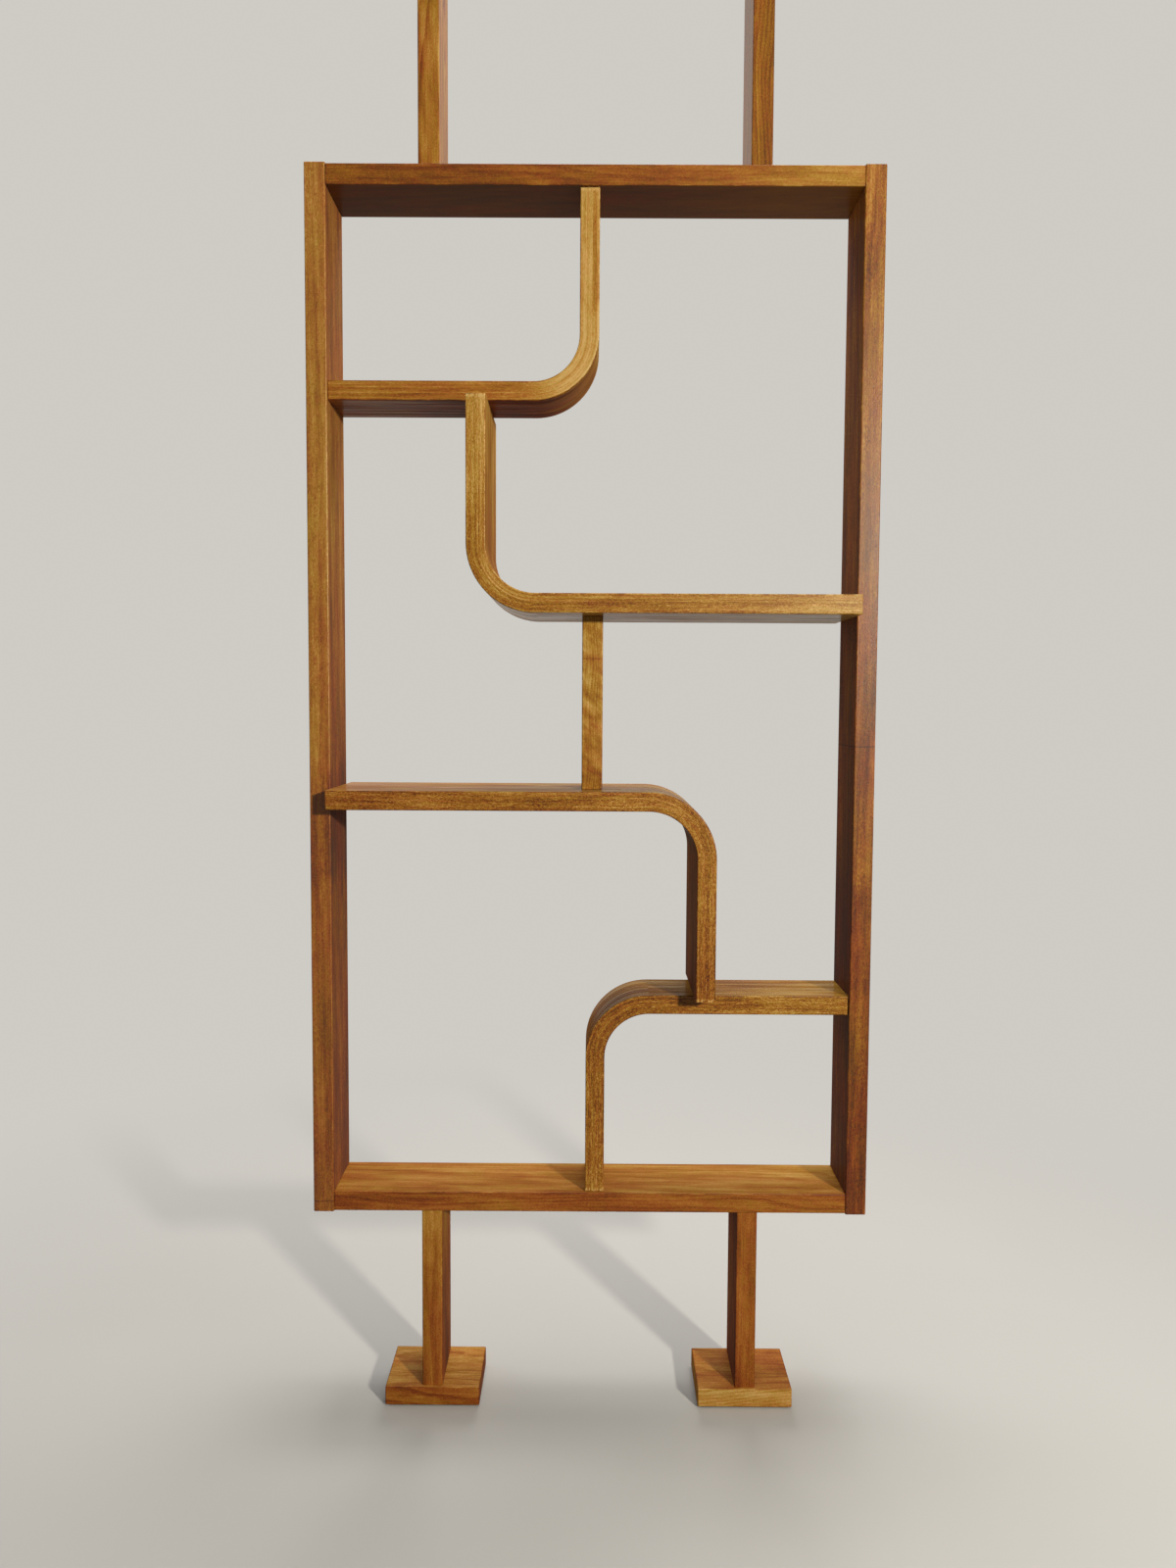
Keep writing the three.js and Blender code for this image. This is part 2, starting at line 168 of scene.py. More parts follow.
# Nut
NUT_STEPS = 96
NUT_CLEARANCE = 0.1 * MM
NUT_BORE_EASING = 0.8 * MM
NUT_ROUND_SHARE = 0.97
NUT_CHAMFER_ANGLE = 30

# Countersunk screws, and the cross in their heads with its length and width at the bottom
SCREW_STEPS = 32
SCREW_SHANK = 2 * MM
SCREW_HEAD_HEIGHT = 2.2 * MM
SCREW_CLEARANCE = 0.2 * MM
SCREW_TIP = 3 * MM
SCREW_POINT = 0.2 * MM
RIM_EASING = 0.2 * MM
RIM_HEIGHT = 0.15 * MM
RECESS_LENGTH = 4.4 * MM
RECESS_WIDTH = 0.9 * MM
RECESS_DEPTH = 1.6 * MM
RECESS_BOTTOM_SHARES = (0.35, 0.7)

# Noises of solid beech: changes to the metre along the grain and across it twice, and a step from
# the board's seed, so that no two are alike
BEECH_NOISES = {
    "swell": dict(scales=(3.2, 13, 13), step=0, detail=1.5),
    "ripple": dict(scales=(14, 70, 70), step=3),
    "fibre": dict(scales=(14, 480, 480), step=5, detail=3.0, roughness=0.6),
    "fleck": dict(scales=(190, 520, 520), step=7, roughness=0.6),
    "flecked": dict(scales=(6, 70, 70), step=8, detail=1.5),
    "patches": dict(scales=(6, 40, 40), step=11),
    "blotches": dict(scales=(38, 110, 110), step=13),
    "grit": dict(scales=(420, 700, 700), step=17, detail=1.0),
    "worn": dict(scales=(30, 30, 30), step=19, detail=3.0),
    "red_wide": dict(scales=(7, 34, 34), step=23),
    "red_fine": dict(scales=(110, 260, 260), step=29),
    "streaks": dict(scales=(2.2, 70, 70), step=31, detail=3.0),
    "ragged": dict(scales=(8, 50, 50), step=37),
}

# Noises of the bent shelves: changes to the metre along, across and through the shelf, and a step
# from its seed. The third scale of the two for the veneer is to each ply, not to the metre.
LAMINATE_NOISES = {
    "streaks": dict(scales=(24, 30, 800), step=0, detail=3.0, roughness=0.65),
    "dashes": dict(scales=(260, 260, 800), step=5, roughness=0.6),
    "dots": dict(scales=(560, 560, 700), step=9, detail=1.5),
    "patches": dict(scales=(8, 18, 36), step=11),
    "veneer": dict(scales=(2.6, 26, 0.9), step=13, detail=1.0),
    "fibre": dict(scales=(12, 480, 600), step=15, detail=3.0, roughness=0.6),
    "worn": dict(scales=(40, 40, 40), step=19, detail=3.0),
    "veneer_streaks": dict(scales=(4, 110, 1), step=21, detail=3.0),
    "end_breaks": dict(scales=(300, 300, 400), step=27),
    "ragged": dict(scales=(10, 60, 60), step=37),
}

# Points scattered in the bent shelves, as many to the metre each way, and a step from the seed
LAMINATE_CELLS = {
    "bright": dict(scales=(300, 300, 380), step=10),
    "flecks": dict(scales=(240, 800, 900), step=17),
}

# Noises of the other materials
OTHER_NOISES = {
    "dowel_fibre": dict(scales=(120, 400, 120), detail=3.0),
    "steel_clouds": dict(scales=(90, 90, 90), detail=4.0),
    "steel_grime": dict(scales=(160, 160, 160), step=7, detail=4.0),
    "felt_hairs": dict(scales=(900, 700, 1400), detail=4.0, roughness=0.7),
    "felt_tufts": dict(scales=(160, 160, 160), step=5, detail=3.0),
    "paper": dict(scales=(3, 3, 3)),
}

# Where a noise starts to show what it stands for, and where it shows it in full
SHOWS = {
    "flecked": (-0.14, 0.06),
    "dashes": (0.03, 0.16),
    "stained_arris": (0.1, -0.06),
    "worn_arris": (0.02, 0.14),
    "inside_glint": (-0.14, 0.02),
    "crossed_ply": (0.45, 0.55),
    "glue": (-0.1, 0.14),
    "bright": (0.24, 0.06),
    "bare_end": (-0.06, 0.1),
    "veneer_flecks": (0.34, 0.18),
    "clean_veneer": (-0.1, 0.1),
    "grime": (0.08, 0.24),
}

# Each ply takes its grain from this many metres further on than the last, so that no two are alike
PLY_SHIFT = 0.37

# Changes to the metre of the breaks in the glue lines, and of the bands along and through a shelf
GLUE_BREAK_SCALE = 70
BAND_SCALES = (5, 190)

# Lines of the veneer's figure for each change of its noise
VENEER_LINES = 9

# Changes to the metre of the fine lines that turning left in the steel
TURNING_SCALE = 4200

# The sockets of a node that mixes colours
MIX_SHARE = 0
MIX_FIRST = 6
MIX_SECOND = 7
MIX_RESULT = 2


def srgb(red, green, blue):
    """A colour in linear light, with alpha, from the usual 0 to 255 values."""
    def linear(value):
        share = value / 255
        return share / 12.92 if share <= 0.04045 else ((share + 0.055) / 1.055) ** 2.4

    return (linear(red), linear(green), linear(blue), 1)


# The stain's tones from the darkest to the lightest, where it turned golden and where it turned red
GOLDEN_STAIN = (
    (63, 38, 8), (101, 57, 10), (134, 84, 15), (160, 115, 31), (183, 145, 68), (203, 168, 104)
)
RED_STAIN = (
    (76, 29, 8), (115, 51, 14), (146, 78, 24), (169, 107, 42), (190, 136, 68), (208, 162, 98)
)


class Graph:
    """The nodes of a material or a world, with one short call for each kind of node."""

    def __init__(self, owner):
        self.owner = owner
        owner.use_nodes = True
        self.nodes = owner.node_tree.nodes
        self.links = owner.node_tree.links
        self.nodes.clear()

    def feed(self, socket, value):
        if isinstance(value, bpy.types.NodeSocket):
            self.links.new(value, socket)
        else:
            socket.default_value = value

    def node(self, kind, output=0, settings=None, **inputs):
        made = self.nodes.new(kind)
        for key, value in (settings or {}).items():
            setattr(made, key, value)
        for key, value in inputs.items():
            self.feed(made.inputs[key.replace("_", " ")], value)
        return made.outputs[output]

    def maths(self, operation, *values, clamp=False):
        made = self.nodes.new("ShaderNodeMath")
        made.operation = operation
        made.use_clamp = clamp
        for socket, value in zip(made.inputs, values):
            self.feed(socket, value)
        return made.outputs[0]

    def add(self, *values):
        total = values[0]
        for value in values[1:]:
            total = self.maths("ADD", total, value)
        return total

    def times(self, a, b):
        return self.maths("MULTIPLY", a, b)

    def length(self, a, b):
        """The length of a vector with these two parts."""
        return self.maths("SQRT", self.add(self.maths("POWER", a, 2), self.maths("POWER", b, 2)))

    def place(self):
        """The three coordinates of the point, in metres."""
        return self.split(self.node("ShaderNodeTexCoord", output="Object"))

    def normal(self):
        """The three parts of the surface's normal."""
        return self.split(self.node("ShaderNodeTexCoord", output="Normal"))

    def split(self, vector):
        made = self.nodes.new("ShaderNodeSeparateXYZ")
        self.feed(made.inputs[0], vector)
        return made.outputs[0], made.outputs[1], made.outputs[2]

    def vector(self, x, y, z):
        made = self.nodes.new("ShaderNodeCombineXYZ")
        for socket, value in zip(made.inputs, (x, y, z)):
            self.feed(socket, value)
        return made.outputs[0]

    def stretched(self, place, scales, shift):
        """The place with each coordinate multiplied by its own scale, then shifted."""
        return self.vector(
            *[self.maths("MULTIPLY_ADD", part, scale, shift) for part, scale in zip(place, scales)]
        )

    def noise(self, vector, detail=2.0, roughness=0.5):
        """Noise about zero, mostly between -0.5 and 0.5."""
        value = self.node(
            "ShaderNodeTexNoise", Vector=vector, Scale=1.0, Detail=detail, Roughness=roughness
        )
        return self.maths("SUBTRACT", value, 0.5)

    def figure(self, place, seed, scales, step=0, **facts):
        """Noise that changes as often to the metre as the scales say, shifted by seed and step."""
        return self.noise(self.stretched(place, scales, seed + step), **facts)

    def cells(self, place, seed, scales, step):
        """The distance to the nearest of points that are scattered as densely as the scales say."""
        vector = self.stretched(place, scales, seed + step)
        return self.node("ShaderNodeTexVoronoi", Vector=vector, Scale=1.0)

    def chance(self, value):
        """One random number from 0 to 1 for each whole value."""
        return self.node("ShaderNodeTexWhiteNoise", settings={"noise_dimensions": "1D"}, W=value)

    def rise(self, value, low, high, out_low=0.0, out_high=1.0):
        """A smooth step from out_low to out_high as the value goes from low to high."""
        made = self.nodes.new("ShaderNodeMapRange")
        made.interpolation_type = "SMOOTHSTEP"
        for socket, fed in zip(made.inputs, (value, low, high, out_low, out_high)):
            self.feed(socket, fed)
        return made.outputs[0]

    def ramp(self, value, colours):
        """A colour that goes through these in even steps as the value goes from 0 to 1."""
        made = self.nodes.new("ShaderNodeValToRGB")
        elements = made.color_ramp.elements
        while len(elements) < len(colours):
            elements.new(0.5)
        for i, (element, colour) in enumerate(zip(elements, colours)):
            element.position = i / (len(colours) - 1)
            element.color = srgb(*colour)
        self.feed(made.inputs[0], value)
        return made.outputs[0]

    def mix(self, share, a, b):
        """One colour, with that share of another."""
        made = self.nodes.new("ShaderNodeMix")
        made.data_type = "RGBA"
        for index, value in ((MIX_SHARE, share), (MIX_FIRST, a), (MIX_SECOND, b)):
            self.feed(made.inputs[index], value)
        return made.outputs[MIX_RESULT]

    def blend(self, share, a, b):
        """One shader, with that share of another."""
        made = self.nodes.new("ShaderNodeMixShader")
        for socket, value in zip(made.inputs, (share, a, b)):
            self.feed(socket, value)
        return made.outputs[0]

    def bump(self, height, distance, strength):
        return self.node("ShaderNodeBump", Height=height, Distance=distance, Strength=strength)

    def shown(self):
        """1 for rays that show what they hit: those of the camera, of mirrors and of glass."""
        rays = self.nodes.new("ShaderNodeLightPath").outputs
        bounced = self.maths("MAXIMUM", rays["Is Glossy Ray"], rays["Is Transmission Ray"])
        return self.maths("MAXIMUM", rays["Is Camera Ray"], bounced)

    def end(self, shader, kind="ShaderNodeOutputMaterial"):
        output = self.nodes.new(kind)
        self.links.new(shader, output.inputs[0])
        return self.owner

    def surface(self, **inputs):
        """Ends the material in a Principled shader with these inputs."""
        return self.end(self.node("ShaderNodeBsdfPrincipled", **inputs))


def material_graph(name):
    return Graph(bpy.data.materials.new(name))


# Wood

def beech_figure(g, grain, pith, ring_width, wave, seed):
    """The figure of solid beech: growth rings, fibres, and the flecks that stand dark in it.

    grain is the place along the grain and across it twice. pith is where the tree's middle lay, and
    wave is how far the rings wander.
    """
    across, through = grain[1:]
    swell = g.figure(grain, seed, **BEECH_NOISES["swell"])
    ripple = g.figure(grain, seed, **BEECH_NOISES["ripple"])
    from_pith = g.length(
        g.maths("SUBTRACT", across, pith[0]), g.maths("SUBTRACT", through, pith[1])
    )
    radius = g.add(from_pith, g.times(swell, wave), g.times(ripple, 3 * MM))
    rings = g.maths("DIVIDE", radius, ring_width)
    within = g.maths("FRACT", rings)
    # Each ring darkens slowly and ends at once, and some rings are stronger than others
    late = g.times(g.rise(within, 0.2, 0.9), g.rise(within, 1.0, 0.92))
    strength = g.maths("MULTIPLY_ADD", g.chance(g.maths("FLOOR", rings)), 0.8, 0.2)
    fibre = g.figure(grain, seed, **BEECH_NOISES["fibre"])
    fleck = g.figure(grain, seed, **BEECH_NOISES["fleck"])
    flecked = g.rise(g.figure(grain, seed, **BEECH_NOISES["flecked"]), *SHOWS["flecked"])
    dashes = g.times(g.rise(fleck, *SHOWS["dashes"]), flecked)
    return {"rings": g.times(late, strength), "fibre": fibre, "fleck": fleck, "dashes": dashes}


def lacquered(g, tone, redness, fibre, dents, specular, polish):
    """Stain of that tone, more or less red, under a satin lacquer that follows the fibres.

    The lacquer looks matt from the side. polish is how much it mirrors when seen almost edge on.
    """
    slanting = g.node("ShaderNodeLayerWeight", output="Facing", Blend=0.5)
    roughness = g.add(
        LACQUER_ROUGHNESS,
        g.times(fibre, FIBRE_ROUGHNESS),
        g.times(dents, DENT_ROUGHNESS),
        g.rise(slanting, *SLANT, 0, SLANT_ROUGHNESS),
    )
    height = g.add(g.times(fibre, 0.5), g.times(dents, -0.6))
    return g.surface(
        Base_Color=g.mix(redness, g.ramp(tone, GOLDEN_STAIN), g.ramp(tone, RED_STAIN)),
        Roughness=roughness,
        Normal=g.bump(height, LACQUER_BUMP, 0.5),
        Specular_IOR_Level=specular,
        Coat_Weight=g.times(g.rise(slanting, *COAT_SLANT), polish),
        Coat_Roughness=COAT_ROUGHNESS,
    )


def redness_of(g, grain, red, seed):
    """How red the stain turned, from 0 to 1, about the mean that is given."""
    wide = g.figure(grain, seed, **BEECH_NOISES["red_wide"])
    fine = g.figure(grain, seed, **BEECH_NOISES["red_fine"])
    return g.maths("ADD", g.add(g.times(wide, 2.0), g.times(fine, 1.6)), red, clamp=True)


def run(g, along, stops, values):
    """A value that goes smoothly from the first to the second, stays, and goes on to the third."""
    start, level_start, level_end, end = stops
    first, middle, last = values
    return g.add(
        g.rise(along, start, level_start, first, middle),
        g.rise(along, level_end, end, 0, last - middle),
    )


def marked(g, along, ragged, marks):
    """How much tone and how much redness the marks add at that place along a piece.

    A mark is the place of its middle in millimetres, half its length, and what it adds to each.
    ragged is a noise that makes its ends uneven.
    """
    tone = 0.0
    redness = 0.0
    for place, reach, more_tone, more_red in marks:
        reach = reach * MM
        uneven = g.maths("MULTIPLY_ADD", ragged, 2 * reach, -place * MM)
        off = g.maths("ABSOLUTE", g.maths("ADD", along, uneven))
        here = g.rise(off, *[share * reach for share in MARK_ENDS])
        tone = g.add(tone, g.times(here, more_tone))
        redness = g.add(redness, g.times(here, more_red))
    return tone, redness


def arris_tone(g, edge, chance, tones):
    """What an arris adds to the tone: it is stained dark, and worn light where chance is high."""
    dark, light = tones
    stained = g.times(g.rise(edge, *STAINED_ARRIS), g.rise(chance, *SHOWS["stained_arris"]))
    worn = g.times(g.rise(edge, *WORN_ARRIS), g.rise(chance, *SHOWS["worn_arris"]))
    return g.add(g.times(stained, -dark), g.times(worn, light))


def edge_distance(g, offsets, half_sizes):
    """How far a point on a box's surface lies from the nearest edge of the box."""
    x, y, z = [
        g.maths("SUBTRACT", half, g.maths("ABSOLUTE", offset))
        for offset, half in zip(offsets, half_sizes)
    ]
    least = g.maths("MINIMUM", x, y)
    most = g.maths("MAXIMUM", x, y)
    return g.maths("MAXIMUM", least, g.maths("MINIMUM", most, z))


def looks(g, normal, facing, under_facing):
    """How fully a face looks up, down, left and right, each from 0 to 1."""
    start, full = facing
    under_start, under_full = under_facing
    return {
        "up": g.rise(normal[2], start, full),
        "down": g.rise(normal[2], -under_start, -under_full),
        "left": g.rise(normal[0], -start, -full),
        "right": g.rise(normal[0], start, full),
    }


def board_mottle(g, turned, slanted, figure, streaky, clouds, flecks, rings, seed):
    """How the tone varies over a board, on the place along the grain and on the slanted one."""
    streaks = g.figure(slanted, seed, **BEECH_NOISES["streaks"])
    patches = g.figure(slanted, seed, **BEECH_NOISES["patches"])
    blotches = g.figure(turned, seed, **BEECH_NOISES["blotches"])
    grit = g.figure(turned, seed, **BEECH_NOISES["grit"])
    return g.add(
        g.times(streaks, streaky),
        g.times(patches, 0.5),
        g.times(blotches, clouds),
        g.times(grit, 0.45),
        g.times(figure["fibre"], 0.4),
        g.times(figure["fleck"], 1.6 * flecks),
        g.times(figure["dashes"], -0.6 * flecks),
        g.times(figure["rings"], -rings),
        0.4 * rings,
    )


# For each axis of the grain, the order of the axes along the grain and across it twice
GRAIN_ORDER = {"x": (0, 1, 2), "z": (2, 0, 1)}


def board_material(node, grain, tones, reds, pith, seed, painted_top_light_and_red=(0.0, 0.0), left=0.0, right=0.0,
                   marks=(), ring_width=6, wave=0.03, rings=0.1, slant=0.02, streaky=0.5,
                   flecks=0.2, clouds=0.2, wear=0.0, specular=LACQUER_SPECULAR, polish=0.0):
    """Solid stained beech for one board.

    tones and reds are the stain's tones and rednesses from 0 to 1 at the board's near end, middle
    and far end, towards + on the grain's axis. painted_top_light_and_red is the painted light and
    shade on its upper face, as how much lighter it is, and how much redder it is. left and right
    are the painted light and shade on the faces that look there, as how much lighter they are.
    slant is how far the streaks lie off the grain, and wear how much more of the arrises is worn
    light. streaky, flecks, clouds and rings are how strong each of these shows. ring_width is in
    millimetres.
    """
    low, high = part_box(node)
    size = high - low
    order = GRAIN_ORDER[grain]
    half = size[order[0]] / 2
    stops = (-half, 0, 0, half)
    g = material_graph(f"beech_{node}")
    offsets = [g.maths("SUBTRACT", p, m) for p, m in zip(g.place(), (low + high) / 2)]
    turned = [offsets[i] for i in order]
    leaning = [g.maths("MULTIPLY_ADD", turned[0], slant, offset) for offset in turned[1:]]
    slanted = (turned[0], *leaning)
    figure = beech_figure(g, turned, pith, ring_width * MM, wave, seed)
    mottle = board_mottle(g, turned, slanted, figure, streaky, clouds, flecks, rings, seed)
    ragged = g.figure(turned, seed, **BEECH_NOISES["ragged"])
    more_tone, more_red = marked(g, turned[0], ragged, marks)
    worn_where = g.add(g.figure(turned, seed, **BEECH_NOISES["worn"]), wear)
    edge = edge_distance(g, offsets, [s / 2 for s in size])
    normal = g.normal()
    face = looks(g, normal, BOARD_FACING, BOARD_FACING)
    end_grain = g.rise(g.maths("ABSOLUTE", normal[order[0]]), *BOARD_FACING)
    at_end = g.rise(g.maths("ABSOLUTE", turned[0]), half - END_REACH, half)
    # Painted light and shade: the faces that look up, down, left and right are made lighter or
    # darker, and the mottle is fainter on the faces that look down
    tone = g.add(
        run(g, turned[0], stops, tones),
        more_tone,
        g.times(face["up"], painted_top_light_and_red[0]),
        g.times(face["down"], PAINTED_UNDERSIDE_SHADE),
        g.times(face["left"], left),
        g.times(face["right"], right),
        g.times(mottle, g.maths("MULTIPLY_ADD", face["down"], -0.6, 1)),
        arris_tone(g, edge, worn_where, BOARD_ARRIS_TONES),
        g.times(end_grain, END_TONE),
        g.times(at_end, END_TONE),
    )
    red = g.add(
        run(g, turned[0], stops, reds),
        more_red,
        g.times(face["up"], painted_top_light_and_red[1]),
        g.times(face["down"], UNDERSIDE_RED),
    )
    redness = redness_of(g, slanted, red, seed)
    return lacquered(g, tone, redness, figure["fibre"], figure["dashes"], specular, polish)


def unbent(g, low, high, sides, bend):
    """A point of a bent shelf, as if the shelf lay flat: its places along, across and through it.

    The place along is 0 where the arm meets the bend and grows from there to the level part's end,
    and the place through starts at the inner face.
    """
    outer = bend + SHELF_THICKNESS
    side_x, side_z = sides
    centre_x = low.x + outer if side_x > 0 else high.x - outer
    centre_z = high.z - outer if side_z > 0 else low.z + outer
    x, y, z = g.place()
    onward = g.times(g.maths("SUBTRACT", x, centre_x), side_x)
    up = g.times(g.maths("SUBTRACT", z, centre_z), side_z)
    back = g.maths("MAXIMUM", g.times(onward, -1), 0)
    raised = g.maths("MAXIMUM", up, 0)
    turn = g.times(g.maths("ARCTAN2", raised, back), bend + SHELF_THICKNESS / 2)
    along = g.add(g.maths("MINIMUM", up, 0), g.maths("MAXIMUM", onward, 0), turn)
    return along, y, g.maths("SUBTRACT", g.length(back, raised), bend)


def ply_edges(g, flat, layers, layer, grain, arm_end, speckle, seed):
    """The figure where the plies show: each of its own tone and grain, with broken glue lines."""
    along, _, through = flat
    # Each ply has its own tone, and about half of them show their grain end on
    draw = g.chance(g.add(layer, seed + 0.5))
    crossed = g.rise(g.chance(g.add(layer, seed + 40.5)), *SHOWS["crossed_ply"])
    # The glue lines lie between the plies only, and break off here and there
    in_layer = g.maths("FRACT", layers)
    to_line = g.maths("MINIMUM", in_layer, g.maths("SUBTRACT", 1, in_layer))
    inside = g.maths("MINIMUM", layers, g.maths("SUBTRACT", PLY_COUNT, layers))
    line = g.times(g.rise(to_line, *GLUE_LINE), g.rise(inside, *GLUE_INSIDE))
    breaks = g.noise(g.vector(g.times(along, GLUE_BREAK_SCALE), layer, seed))
    glue = g.times(line, g.rise(breaks, *SHOWS["glue"]))
    streaks = g.figure(grain, seed, **LAMINATE_NOISES["streaks"])
    dashes = g.figure(grain, seed, **LAMINATE_NOISES["dashes"])
    dots = g.figure(grain, seed, **LAMINATE_NOISES["dots"])
    bright = g.rise(g.cells(grain, seed, **LAMINATE_CELLS["bright"]), *SHOWS["bright"])
    band_along, band_through = [g.times(p, s) for p, s in zip((along, through), BAND_SCALES)]
    bands = g.noise(g.vector(band_along, seed, band_through), detail=1.0)
    at_end = g.rise(along, *[arm_end + reach for reach in BARE_END])
    end_breaks = g.figure(grain, seed, **LAMINATE_NOISES["end_breaks"])
    bare_end = g.times(at_end, g.rise(end_breaks, *SHOWS["bare_end"]))
    mottle = g.add(
        g.times(draw, 0.16),
        g.times(streaks, speckle),
        g.times(bands, 0.5),
        g.times(dashes, 0.95 * speckle),
        g.times(g.times(dots, 0.8 * speckle), g.maths("MULTIPLY_ADD", crossed, 0.5, 0.5)),
        g.times(bright, 0.42 * speckle),
        g.times(glue, -0.2),
        g.times(bare_end, 0.5),
        -0.1,
    )
    return {"mottle": mottle, "dashes": dashes}


def veneer_face(g, flat, layer, grain, seed):
    """The figure of the outer plies' faces: wandering lines, streaks, fibres and short flecks."""
    along, y, _ = flat
    on_ply = (along, y, layer)
    veneer = g.figure(on_ply, seed, **LAMINATE_NOISES["veneer"])
    lines = g.maths("PINGPONG", g.times(veneer, VENEER_LINES), 0.5)
    streaks = g.figure(on_ply, seed, **LAMINATE_NOISES["veneer_streaks"])
    fibre = g.figure(grain, seed, **LAMINATE_NOISES["fibre"])
    flecks = g.rise(g.cells(grain, seed, **LAMINATE_CELLS["flecks"]), *SHOWS["veneer_flecks"])
    mottle = g.add(
        g.times(lines, 0.26),
        g.times(streaks, 0.6),
        g.times(fibre, 0.36),
        g.times(flecks, -0.12),
        -0.05,
    )
    return {"mottle": mottle, "streaks": streaks, "fibre": fibre, "flecks": flecks}


def shelf_material(node, sides, bend, tones, reds, polish, seed, painted_top_light_and_red=(0.0, 0.0),
                   painted_under_shade=(PAINTED_UNDERSIDE_SHADE,) * 3, under_red=UNDERSIDE_RED, left=0.0, right=0.0,
                   marks=(), speckle=1.0, line=0.0):
    """Laminated beech that follows a bent shelf.

    sides turns the shelf so that its arm hangs down at the left and its level part runs to the
    right, and bend is the radius inside the bend. tones, reds and polish are the stain's tones and
    rednesses and the lacquer's polish at the arm's end, the bend and the level part's end, and
    painted_under_shade is the painted shade there on the faces that look down, as how much lighter
    they are. under_red is how much redder these are. painted_top_light_and_red is the painted light
    and shade on the faces that look up, as how much lighter they are, and how much redder they
    are. left and right are the painted light and shade on the faces that look there, as how much
    lighter they are. speckle is how marked the figure of the plies is, and line how light the
    painted glint on the inside arris is.
    """
    low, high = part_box(node)
    arm_end = -(high.z - low.z - bend - SHELF_THICKNESS)
    level_end = high.x - low.x - bend - SHELF_THICKNESS + bend * math.pi / 2
    half_depth = (high.y - low.y) / 2
    stops = (arm_end, 0, bend, level_end)
    g = material_graph(f"laminated_{node}")
    flat = unbent(g, low, high, sides, bend)
    along, y, through = flat
    layers = g.maths("DIVIDE", through, SHELF_THICKNESS / PLY_COUNT)
    layer = g.maths("FLOOR", layers)
    grain = (along, y, g.add(through, g.times(layer, PLY_SHIFT)))
    plies = ply_edges(g, flat, layers, layer, grain, arm_end, speckle, seed)
    veneer = veneer_face(g, flat, layer, grain, seed)
    patches = g.figure(flat, seed, **LAMINATE_NOISES["patches"])
    ragged = g.figure(flat, seed, **LAMINATE_NOISES["ragged"])
    more_tone, more_red = marked(g, along, ragged, marks)
    to_edge = g.maths("SUBTRACT", half_depth, g.maths("ABSOLUTE", y))
    to_face = g.maths("MINIMUM", through, g.maths("SUBTRACT", SHELF_THICKNESS, through))
    on_plies = g.rise(to_edge, *PLIES_SHOW)
    on_veneer = g.maths("SUBTRACT", 1, on_plies)
    edge = g.maths("MAXIMUM", to_edge, to_face)
    worn_where = g.figure(flat, seed, **LAMINATE_NOISES["worn"])
    # Painted glint: a thin light line along the inside arris, broken here and there
    painted_arris_glint = g.times(
        g.rise(g.maths("MAXIMUM", to_edge, through), *INSIDE_ARRIS_GLINT),
        g.rise(worn_where, *SHOWS["inside_glint"]),
    )
    normal = g.normal()
    face = looks(g, normal, SHELF_FACING, SHELF_UNDER_FACING)
    # Painted light and shade: the faces that look up, down, left and right are made lighter or
    # darker
    tone = g.add(
        run(g, along, stops, tones),
        more_tone,
        g.times(patches, 0.5),
        g.times(face["up"], painted_top_light_and_red[0]),
        g.times(face["down"], run(g, along, stops, painted_under_shade)),
        g.times(face["left"], left),
        g.times(face["right"], right),
        g.times(plies["mottle"], on_plies),
        g.times(veneer["mottle"], on_veneer),
        arris_tone(g, edge, worn_where, SHELF_ARRIS_TONES),
        g.times(painted_arris_glint, line),
    )
    red = g.add(
        run(g, along, stops, reds),
        more_red,
        g.times(face["up"], painted_top_light_and_red[1]),
        g.times(face["down"], under_red),
    )
    redness = redness_of(g, grain, red, seed)
    clean = g.rise(veneer["streaks"], *SHOWS["clean_veneer"], 0.25, 1.0)
    level = g.rise(g.maths("ABSOLUTE", normal[2]), *SHELF_LEVEL_FACING)
    polish_here = g.times(g.times(level, clean), run(g, along, stops, polish))
    dents = g.times(veneer["flecks"], on_veneer)
    pores = g.add(veneer["fibre"], g.times(plies["dashes"], 0.3))
    return lacquered(g, tone, redness, pores, dents, LACQUER_SPECULAR, polish_here)


def bare_beech():
    """Beech without stain, for the dowels."""
    g = material_graph("bare_beech")
    fibre = g.figure(g.place(), 0, **OTHER_NOISES["dowel_fibre"])
    colour = g.mix(g.maths("ADD", fibre, 0.5), srgb(188, 150, 104), srgb(222, 192, 148))
    return g.surface(Base_Color=colour, Roughness=0.7, Normal=g.bump(fibre, 0.1 * MM, 0.4))


# Metal and felt

def plated_steel(name, axis_x):
    """Zinc plated steel, turned about an upright axis at that x."""
    g = material_graph(name)
    place = g.place()
    x, y, z = place
    radius = g.length(g.maths("SUBTRACT", x, axis_x), y)
    lines = g.noise(g.vector(g.times(radius, TURNING_SCALE), g.times(z, TURNING_SCALE), 0.0))
    clouds = g.figure(place, 0, **OTHER_NOISES["steel_clouds"])
    grime = g.rise(g.figure(place, 0, **OTHER_NOISES["steel_grime"]), *SHOWS["grime"])
    colour = g.mix(g.maths("ADD", clouds, 0.5), srgb(142, 142, 138), srgb(186, 185, 178))
    return g.surface(
        Base_Color=g.mix(g.times(grime, 0.55), colour, srgb(96, 90, 80)),
        Metallic=1.0,
        Roughness=g.add(0.34, g.times(clouds, 0.2), g.times(grime, 0.25)),
        Normal=g.bump(lines, 0.03 * MM, 0.5),
    )


